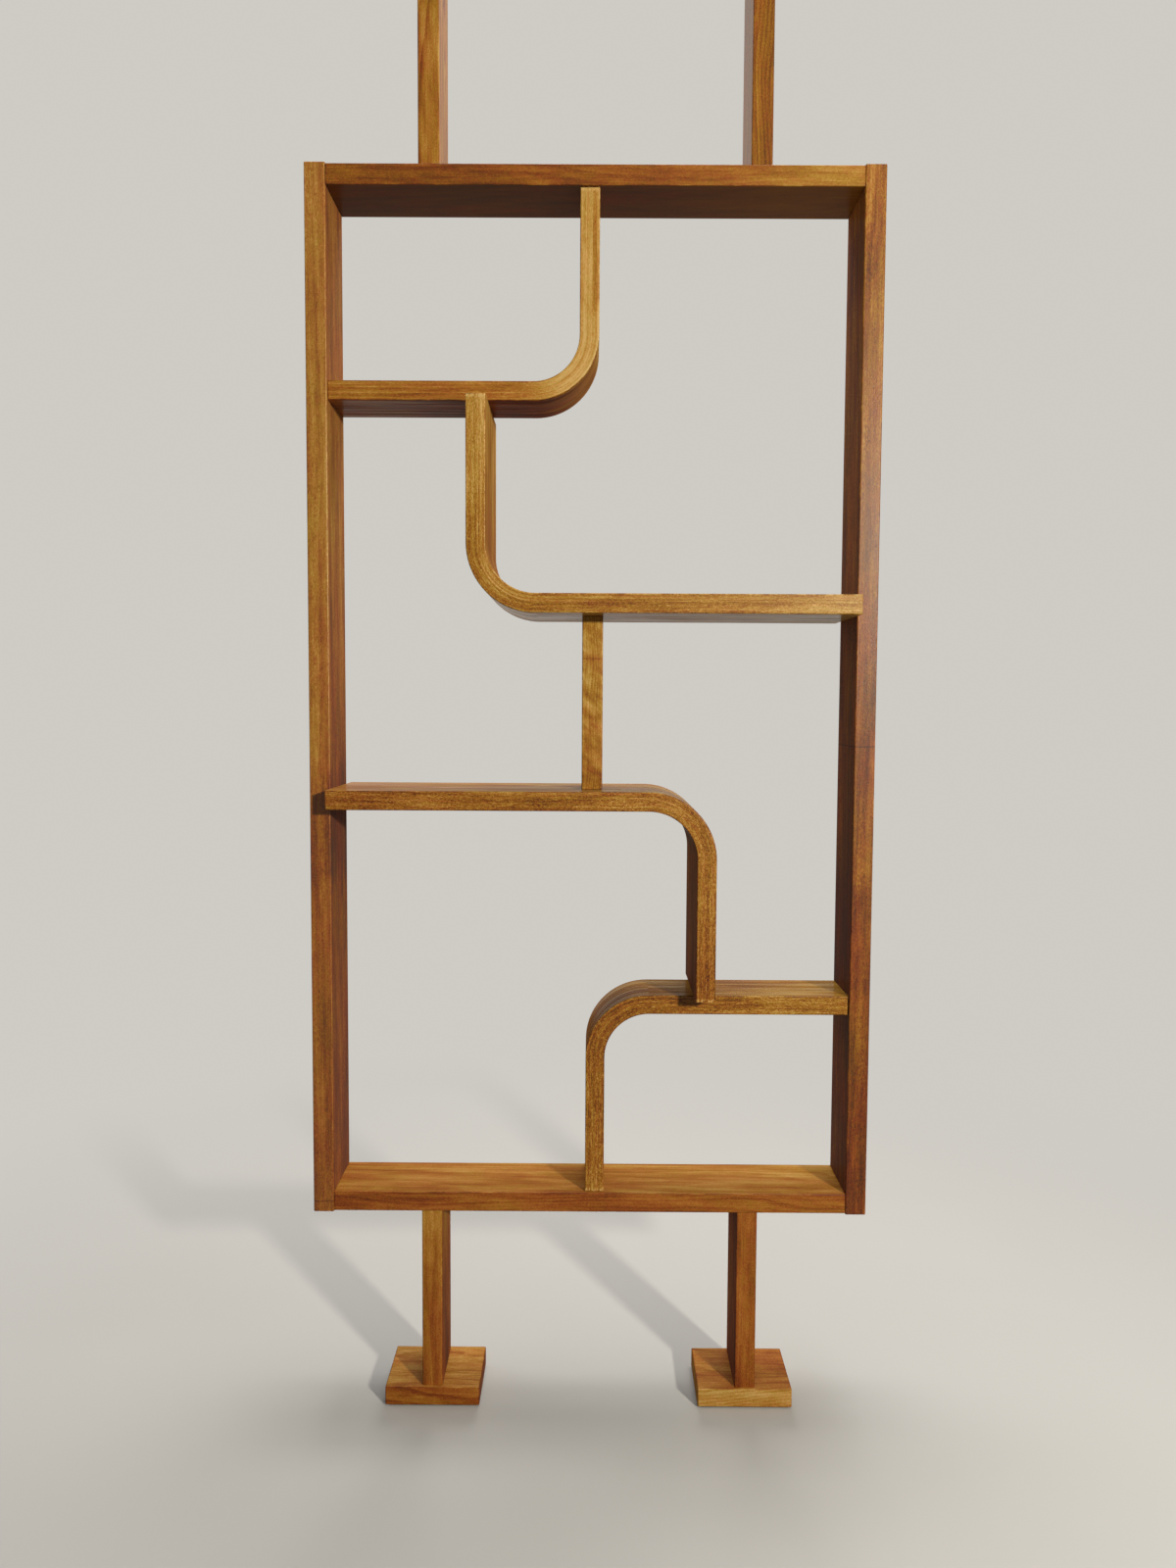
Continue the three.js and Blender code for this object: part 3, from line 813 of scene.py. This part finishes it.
def felt():
    """Dark felt of short matted hairs, for the pads."""
    g = material_graph("felt")
    place = g.place()
    hairs = g.figure(place, 0, **OTHER_NOISES["felt_hairs"])
    tufts = g.figure(place, 0, **OTHER_NOISES["felt_tufts"])
    return g.surface(
        Base_Color=g.mix(g.add(hairs, tufts, 0.5), srgb(40, 33, 27), srgb(82, 71, 60)),
        Roughness=0.96,
        Normal=g.bump(g.add(hairs, tufts), 0.5 * MM, 0.8),
        Sheen_Weight=0.3,
        Sheen_Roughness=0.5,
    )


# Shading of the solids: faces meet smoothly at small angles, and large faces stay flat

def smoothing_group():
    """The nodes of a modifier that shades smooth all but the edges above the sharp angle."""
    group = bpy.data.node_groups.new("smooth_by_angle", "GeometryNodeTree")
    for in_out in ("INPUT", "OUTPUT"):
        group.interface.new_socket("Geometry", in_out=in_out, socket_type="NodeSocketGeometry")
    nodes, links = group.nodes, group.links
    entry = nodes.new("NodeGroupInput")
    leave = nodes.new("NodeGroupOutput")
    faces = nodes.new("GeometryNodeSetShadeSmooth")
    edges = nodes.new("GeometryNodeSetShadeSmooth")
    edges.domain = "EDGE"
    angle = nodes.new("GeometryNodeInputMeshEdgeAngle")
    gentle = nodes.new("FunctionNodeCompare")
    gentle.operation = "LESS_THAN"
    gentle.inputs[1].default_value = math.radians(SHARP_ANGLE)
    links.new(entry.outputs[0], faces.inputs["Geometry"])
    links.new(faces.outputs[0], edges.inputs["Geometry"])
    links.new(angle.outputs[0], gentle.inputs[0])
    links.new(gentle.outputs[0], edges.inputs["Shade Smooth"])
    links.new(edges.outputs[0], leave.inputs[0])
    return group


SMOOTHING = smoothing_group()


def finish(piece, material):
    """Gives a piece its material and its shading."""
    piece.data.materials.clear()
    piece.data.materials.append(material)
    weld = piece.modifiers.new("weld", "WELD")
    weld.merge_threshold = WELD_DISTANCE
    smooth = piece.modifiers.new("smooth", "NODES")
    smooth.node_group = SMOOTHING
    weighted = piece.modifiers.new("weighted", "WEIGHTED_NORMAL")
    weighted.keep_sharp = True


def replace_with(piece, material, body, node):
    """A new piece takes the place of a node and rides on its body."""
    finish(piece, material)
    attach(piece, body)
    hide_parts(node)


# Meshes

def mesh_object(name, shape):
    """An object with that shape for its mesh. The shape is used up."""
    mesh = bpy.data.meshes.new(name)
    bmesh.ops.recalc_face_normals(shape, faces=shape.faces)
    shape.to_mesh(mesh)
    shape.free()
    piece = bpy.data.objects.new(name, mesh)
    bpy.context.scene.collection.objects.link(piece)
    return piece


def ring_shape(rings, closed=False):
    """A shape with faces between rings of equally many points. An open row of rings is capped."""
    shape = bmesh.new()
    rows = [[shape.verts.new(point) for point in points] for points in rings]
    count = len(rows[0])
    pairs = list(zip(rows, rows[1:])) + ([(rows[-1], rows[0])] if closed else [])
    for lower, upper in pairs:
        for i in range(count):
            j = (i + 1) % count
            shape.faces.new((lower[i], lower[j], upper[j], upper[i]))
    if not closed:
        shape.faces.new(list(reversed(rows[0])))
        shape.faces.new(rows[-1])
    return shape


def turned_point(radius, angle, height):
    return (radius * math.cos(angle), radius * math.sin(angle), height)


def ring(radius, height, steps=LATHE_STEPS):
    """A ring of points about the upright axis. radius and height may be functions of the angle."""
    points = []
    for i in range(steps):
        angle = 2 * math.pi * i / steps
        r = radius(angle) if callable(radius) else radius
        z = height(angle) if callable(height) else height
        points.append(turned_point(r, angle, z))
    return points


def carve(piece, cutters):
    """The piece with the cutters taken out of it. The cutters are deleted."""
    for cutter in cutters:
        modifier = piece.modifiers.new("cut", "BOOLEAN")
        modifier.operation = "DIFFERENCE"
        modifier.solver = "EXACT"
        modifier.object = cutter
    bpy.context.view_layer.update()
    evaluated = piece.evaluated_get(bpy.context.evaluated_depsgraph_get())
    mesh = bpy.data.meshes.new_from_object(evaluated)
    piece.modifiers.clear()
    piece.data = mesh
    for cutter in cutters:
        bpy.data.objects.remove(cutter)


# Screw jacks

def thread(shape, foot, head):
    """A threaded rod between two heights, with a chamfer at its foot.

    It is a helical strip of crest, flank and root, longer than the rod, and cut level at both ends.
    """
    root = SPINDLE_RADIUS - THREAD_DEPTH
    profile = [
        (0, SPINDLE_RADIUS),
        (THREAD_CREST, SPINDLE_RADIUS),
        (THREAD_CREST + THREAD_FLANK, root),
        (THREAD_PITCH - THREAD_FLANK, root),
    ]
    turns = math.ceil((head - foot) / THREAD_PITCH) + SPARE_TURNS + 1
    rows = []
    for step in range(turns * THREAD_STEPS + 1):
        angle = 2 * math.pi * step / THREAD_STEPS
        start = foot - SPARE_TURNS * THREAD_PITCH + THREAD_PITCH * step / THREAD_STEPS
        rows.append([
            shape.verts.new(turned_point(radius, angle, start + offset))
            for offset, radius in profile
        ])
    for step in range(len(rows) - 1):
        here, following = rows[step], rows[step + 1]
        for k in range(len(profile) - 1):
            shape.faces.new((here[k], following[k], following[k + 1], here[k + 1]))
        over = step + THREAD_STEPS
        if over + 1 < len(rows):
            shape.faces.new((here[-1], following[-1], rows[over + 1][0], rows[over][0]))
    for height, upward in ((foot, -1), (head, 1)):
        geometry = shape.verts[:] + shape.edges[:] + shape.faces[:]
        bmesh.ops.bisect_plane(
            shape, geom=geometry, plane_co=(0, 0, height), plane_no=(0, 0, upward), clear_outer=True
        )
    for vertex in shape.verts:
        limit = SPINDLE_RADIUS - SPINDLE_CHAMFER + (vertex.co.z - foot)
        reach = math.hypot(vertex.co.x, vertex.co.y)
        if limit < reach:
            vertex.co.x *= limit / reach
            vertex.co.y *= limit / reach
    bmesh.ops.holes_fill(shape, edges=[e for e in shape.edges if e.is_boundary], sides=0)


def countersink(screw, axis_x, foot):
    """A cutter for that screw's hole in the flange, whose underside is at that height."""
    low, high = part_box(screw)
    mouth = (high.x - low.x) / 2 + SCREW_CLEARANCE
    shank = SCREW_SHANK + SCREW_CLEARANCE
    rings = [
        ring(mouth, foot - FLANGE_THICKNESS, SCREW_STEPS),
        ring(mouth, foot + SCREW_CLEARANCE, SCREW_STEPS),
        ring(shank, foot + SCREW_HEAD_HEIGHT + SCREW_CLEARANCE, SCREW_STEPS),
        ring(shank, foot + 2 * FLANGE_THICKNESS, SCREW_STEPS),
    ]
    cutter = mesh_object("cutter", ring_shape(rings))
    cutter.location = ((low.x + high.x) / 2 - axis_x, (low.y + high.y) / 2, 0)
    return cutter


def spindle(side, axis_x, screws):
    """The threaded spindle and, above its plain neck and weld, the round flange."""
    low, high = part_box(f"jack_spindle_{side}")
    flange_foot = high.z - FLANGE_THICKNESS
    flange_radius = (high.x - low.x) / 2
    neck_foot = flange_foot - SPINDLE_NECK
    bead = []
    for i in range(WELD_STEPS + 1):
        angle = i / WELD_STEPS * math.pi / 2
        radius = SPINDLE_RADIUS + WELD_SIZE * (1 - math.cos(angle))
        bead.append(ring(radius, flange_foot - WELD_SIZE * (1 - math.sin(angle))))
    rings = [
        ring(SPINDLE_RADIUS, neck_foot),
        *bead,
        ring(flange_radius - FLANGE_EASING, flange_foot),
        ring(flange_radius, flange_foot + FLANGE_EASING),
        ring(flange_radius, high.z - FLANGE_EASING),
        ring(flange_radius - FLANGE_EASING, high.z),
    ]
    piece = mesh_object(f"threaded_spindle_{side}", ring_shape(rings))
    carve(piece, [countersink(screw, axis_x, flange_foot) for screw in screws])
    rod = bmesh.new()
    thread(rod, low.z, neck_foot)
    bmesh.ops.recalc_face_normals(rod, faces=rod.faces)
    rod.from_mesh(piece.data)
    rod.to_mesh(piece.data)
    rod.free()
    piece.data.transform(Matrix.Translation((axis_x, 0, 0)))
    return piece


def nut(side, axis_x):
    """A hexagon nut with both faces chamfered and the mouths of its bore eased."""
    low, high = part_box(f"jack_nut_{side}")
    to_flat = (high.x - low.x) / 2
    round_radius = NUT_ROUND_SHARE * to_flat
    bore = SPINDLE_RADIUS + NUT_CLEARANCE
    sixth = math.pi / 3

    def hexagon(angle):
        return to_flat / math.cos((angle + sixth / 2) % sixth - sixth / 2)

    def drop(angle):
        return (hexagon(angle) - round_radius) * math.tan(math.radians(NUT_CHAMFER_ANGLE))

    outline = [
        (bore, low.z + NUT_BORE_EASING),
        (bore + NUT_BORE_EASING, low.z),
        (round_radius, low.z),
        (hexagon, lambda angle: low.z + drop(angle)),
        (hexagon, lambda angle: high.z - drop(angle)),
        (round_radius, high.z),
        (bore + NUT_BORE_EASING, high.z),
        (bore, high.z - NUT_BORE_EASING),
    ]
    rings = [ring(radius, height, NUT_STEPS) for radius, height in outline]
    piece = mesh_object(f"hexagon_nut_{side}", ring_shape(rings, closed=True))
    piece.data.transform(Matrix.Translation((axis_x, 0, 0)))
    return piece


def recess_bars(foot):
    """Cutters for the two bars of the cross in a screw's head."""
    long_share, wide_share = RECESS_BOTTOM_SHARES
    ends = (
        (foot - RECESS_DEPTH, RECESS_LENGTH / 2, RECESS_WIDTH / 2),
        (foot + RECESS_DEPTH, long_share * RECESS_LENGTH / 2, wide_share * RECESS_WIDTH / 2),
    )
    for turn in (0, math.pi / 2):
        c, s = math.cos(turn), math.sin(turn)
        rings = []
        for height, u, v in ends:
            corners = ((u, v), (-u, v), (-u, -v), (u, -v))
            rings.append([(a * c - b * s, a * s + b * c, height) for a, b in corners])
        yield mesh_object("cutter", ring_shape(rings))


def plate_screw(name, node):
    """A countersunk screw, head down, with a cross in its head."""
    low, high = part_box(node)
    head = (high.x - low.x) / 2
    rings = [
        ring(head - RIM_EASING, low.z, SCREW_STEPS),
        ring(head, low.z + RIM_HEIGHT, SCREW_STEPS),
        ring(SCREW_SHANK, low.z + SCREW_HEAD_HEIGHT, SCREW_STEPS),
        ring(SCREW_SHANK, high.z - SCREW_TIP, SCREW_STEPS),
        ring(SCREW_POINT, high.z, SCREW_STEPS),
    ]
    piece = mesh_object(name, ring_shape(rings))
    carve(piece, list(recess_bars(low.z)))
    piece.data.transform(Matrix.Translation(((low.x + high.x) / 2, (low.y + high.y) / 2, 0)))
    return piece


def dress_jack(side):
    """The steel pieces of one jack."""
    low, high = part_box(f"jack_spindle_{side}")
    axis_x = (low.x + high.x) / 2
    steel = plated_steel(f"plated_steel_{side}", axis_x)
    screws = sorted(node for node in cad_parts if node.startswith(f"plate_screw_{side}"))
    lifted = f"ceiling_{side}"
    threaded = spindle(side, axis_x, screws)
    replace_with(threaded, steel, lifted, f"jack_spindle_{side}")
    replace_with(nut(side, axis_x), steel, f"nut_{side}", f"jack_nut_{side}")
    for node in screws:
        screw = plate_screw(node.replace("plate", "cross"), node)
        replace_with(screw, steel, lifted, node)
    finish(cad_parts[f"guide_bush_{side}"], steel)


# The boards, each with what board_material says of it
BOARDS = {
    "upright_left": dict(
        grain="z", tones=(0.35, 0.46, 0.53), reds=(0.75, 0.55, 0.5), right=-0.12,
        marks=((-205, 100, -0.18, 0.15), (330, 170, 0.1, -0.15), (-786, 1.2, -0.2, 0.0)),
        pith=(0.11, 0.05), flecks=0.42, clouds=0.25, wear=0.14, seed=2.0, specular=0.4),
    "upright_right": dict(
        grain="z", tones=(0.26, 0.34, 0.49), reds=(0.6, 0.4, 0.35), left=-0.15,
        marks=((673, 60, -0.11, 0.2), (-370, 90, -0.09, 0.1), (-65, 1.2, -0.18, 0.0)),
        pith=(-0.09, 0.03), ring_width=9, slant=-0.04, flecks=0.5, clouds=0.25, seed=9.0,
        specular=0.28, polish=0.03),
    "top_rail": dict(
        grain="x", tones=(0.31, 0.32, 0.57), reds=(0.6, 0.6, 0.3), pith=(0.05, -0.1),
        ring_width=14, wave=0.09, slant=0.12, streaky=0.3, flecks=0.12, seed=17.0, polish=0.6),
    "bottom_rail": dict(
        grain="x", tones=(0.31, 0.35, 0.42), reds=(0.9, 0.85, 0.7), painted_top_light_and_red=(0.23, -0.1),
        pith=(-0.02, -0.07), wave=0.05, rings=0.15, slant=0.05, flecks=0.14, seed=23.0, polish=0.2),
    "centre_post": dict(
        grain="z", tones=(0.46, 0.59, 0.55), reds=(0.25, 0.15, 0.2), marks=((68, 1.3, -0.14, 0.2),),
        pith=(0.03, -0.05), wave=0.12, rings=0.2, slant=0.8, streaky=0.6, flecks=0.24, clouds=0.4,
        seed=31.0),
    "leg_left": dict(
        grain="z", tones=(0.36, 0.43, 0.68), reds=(0.8, 0.75, 0.4), right=-0.18,
        pith=(0.02, -0.08), ring_width=11, streaky=0.32, flecks=0.24, clouds=0.3, seed=37.0),
    "leg_right": dict(
        grain="z", tones=(0.29, 0.41, 0.43), reds=(0.8, 0.8, 0.75), left=-0.2,
        pith=(0.06, -0.07), ring_width=12, streaky=0.32, flecks=0.24, clouds=0.3, seed=41.0),
    "foot_plate_left": dict(
        grain="x", tones=(0.36, 0.36, 0.36), reds=(0.8, 0.8, 0.8), painted_top_light_and_red=(0.22, -0.1),
        pith=(0.03, -0.06), wave=0.08, rings=0.2, slant=0.12, streaky=0.34, flecks=0.16, clouds=0.4,
        seed=43.0),
    "foot_plate_right": dict(
        grain="x", tones=(0.69, 0.68, 0.69), reds=(0.4, 0.4, 0.4), painted_top_light_and_red=(-0.21, 0.4),
        pith=(-0.03, 0.05), wave=0.08, rings=0.2, slant=0.1, streaky=0.28, flecks=0.14, clouds=0.3,
        seed=47.0),
    "upper_post_left": dict(
        grain="z", tones=(0.46, 0.46, 0.47), reds=(0.3, 0.3, 0.3), right=-0.05, pith=(0.03, -0.05),
        ring_width=9, wave=0.12, rings=0.26, slant=0.1, flecks=0.14, seed=53.0, polish=0.4),
    "upper_post_right": dict(
        grain="z", tones=(0.38, 0.37, 0.38), reds=(0.3, 0.3, 0.3), pith=(-0.05, -0.04), wave=0.05,
        rings=0.2, seed=59.0, polish=0.6),
    "ceiling_plate_left": dict(
        grain="x", tones=(0.44, 0.48, 0.46), reds=(0.6, 0.6, 0.6), pith=(0.02, 0.08), wave=0.05,
        rings=0.18, flecks=0.12, seed=61.0),
    "ceiling_plate_right": dict(
        grain="x", tones=(0.4, 0.44, 0.48), reds=(0.6, 0.6, 0.6), pith=(-0.04, 0.09), wave=0.05,
        rings=0.18, flecks=0.12, seed=67.0),
}

# The bent shelves, each with what shelf_material says of it
SHELVES = {
    "corner_shelf_upper": dict(
        sides=(-1, -1), bend=CORNER_BEND, tones=(0.88, 0.83, 0.58), reds=(0.25, 0.25, 0.4),
        painted_under_shade=(-0.45, -0.55, -0.2), under_red=0.2,
        marks=((230, 110, -0.13, 0.3), (20, 80, 0.14, -0.1)), speckle=0.55, seed=3.0,
        polish=(0.0, 0.1, 0.6)),
    "deep_shelf_upper": dict(
        sides=(1, -1), bend=DEEP_BEND, tones=(0.82, 0.59, 0.8), reds=(0.3, 0.3, 0.1),
        painted_under_shade=(0.0, 0.05, 0.0), right=-0.17, marks=((400, 200, -0.16, 0.15),), line=0.22, seed=13.0,
        polish=(0.6, 0.82, 0.75)),
    "deep_shelf_lower": dict(
        sides=(-1, 1), bend=DEEP_BEND, tones=(0.46, 0.53, 0.46), reds=(0.5, 0.4, 0.6),
        painted_top_light_and_red=(0.04, -0.25), left=-0.28, speckle=1.15, seed=29.0, polish=(0.5, 0.6, 0.5)),
    "corner_shelf_lower": dict(
        sides=(1, 1), bend=CORNER_BEND, tones=(0.56, 0.46, 0.6), reds=(0.5, 0.45, 0.3),
        painted_top_light_and_red=(-0.02, -0.5), marks=((313, 70, -0.06, 0.0),), speckle=1.15, seed=51.0,
        polish=(0.7, 0.7, 0.7)),
}


def dress_frame():
    """The boards, shelves, dowels and pads, whose solids have the right shape already."""
    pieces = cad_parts
    for node, facts in BOARDS.items():
        finish(pieces[node], board_material(node, **facts))
    for node, facts in SHELVES.items():
        finish(pieces[node], shelf_material(node, **facts))
    dowels = bare_beech()
    pads = felt()
    for node, piece in pieces.items():
        if node.startswith("dowel_"):
            finish(piece, dowels)
        elif "_pad_" in node:
            finish(piece, pads)


# Stage, light and camera

def stage_material():
    g = material_graph("pale_floor")
    place = g.place()
    paper = g.figure(place, 0, **OTHER_NOISES["paper"])
    shown = g.shown()
    pale = g.node("ShaderNodeBrightContrast", Color=FLOOR_COLOUR, Bright=g.times(paper, 0.02))
    lit = g.node(
        "ShaderNodeBsdfPrincipled",
        Base_Color=g.mix(shown, BOUNCE_COLOUR, pale),
        Roughness=0.9,
        Specular_IOR_Level=0.2,
    )
    glow = g.node("ShaderNodeEmission", Color=BACKGROUND_COLOUR)
    fade = g.times(g.rise(g.length(*place[:2]), FADE_START, FADE_END), shown)
    return g.end(g.blend(fade, lit, glow))


def make_stage():
    shape = bmesh.new()
    bmesh.ops.create_circle(shape, cap_ends=True, radius=FLOOR_RADIUS, segments=FLOOR_SIDES)
    floor = mesh_object("floor", shape)
    floor.data.materials.append(stage_material())
    floor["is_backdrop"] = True


def make_world():
    """Dim light from all around, behind which rays that show something find the pale background."""
    g = Graph(bpy.data.worlds.new("room"))
    bpy.context.scene.world = g.owner
    colour = g.mix(g.shown(), ROOM_COLOUR, BACKGROUND_COLOUR)
    g.end(g.node("ShaderNodeBackground", Color=colour), "ShaderNodeOutputWorld")


def make_lamp(name, place, aim, size, power, colour, mirrored):
    lamp = bpy.data.lights.new(name, "AREA")
    lamp.shape = "DISK"
    lamp.size = size
    lamp.energy = power
    lamp.color = colour
    holder = bpy.data.objects.new(name, lamp)
    holder.location = place
    direction = Vector(aim) - Vector(place)
    holder.rotation_euler = direction.to_track_quat("-Z", "Y").to_euler()
    holder.visible_camera = False
    holder.visible_glossy = mirrored
    bpy.context.scene.collection.objects.link(holder)


def make_camera():
    data = bpy.data.cameras.new("camera")
    data.sensor_fit = "HORIZONTAL"
    data.sensor_width = SENSOR_WIDTH
    data.lens = CAMERA_LENS
    camera = bpy.data.objects.new("camera", data)
    bpy.context.scene.collection.objects.link(camera)
    pan = Matrix.Rotation(math.radians(CAMERA_PAN), 4, "Z")
    tilt = Matrix.Rotation(math.radians(CAMERA_TILT), 4, "X")
    roll = Matrix.Rotation(math.radians(CAMERA_ROLL), 4, "Z")
    camera.matrix_world = Matrix.Translation(CAMERA_PLACE) @ pan @ tilt @ roll
    bpy.context.scene.camera = camera


dress_frame()
for jack_side in ("left", "right"):
    dress_jack(jack_side)
make_stage()
for lamp_name, facts in LAMPS.items():
    make_lamp(lamp_name, *facts)
make_world()
make_camera()
bpy.context.scene.view_settings.view_transform = "Standard"

boxes = {"cad": cad_box, "visual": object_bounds()}
{name: [list(corner) for corner in box] for name, box in boxes.items()}
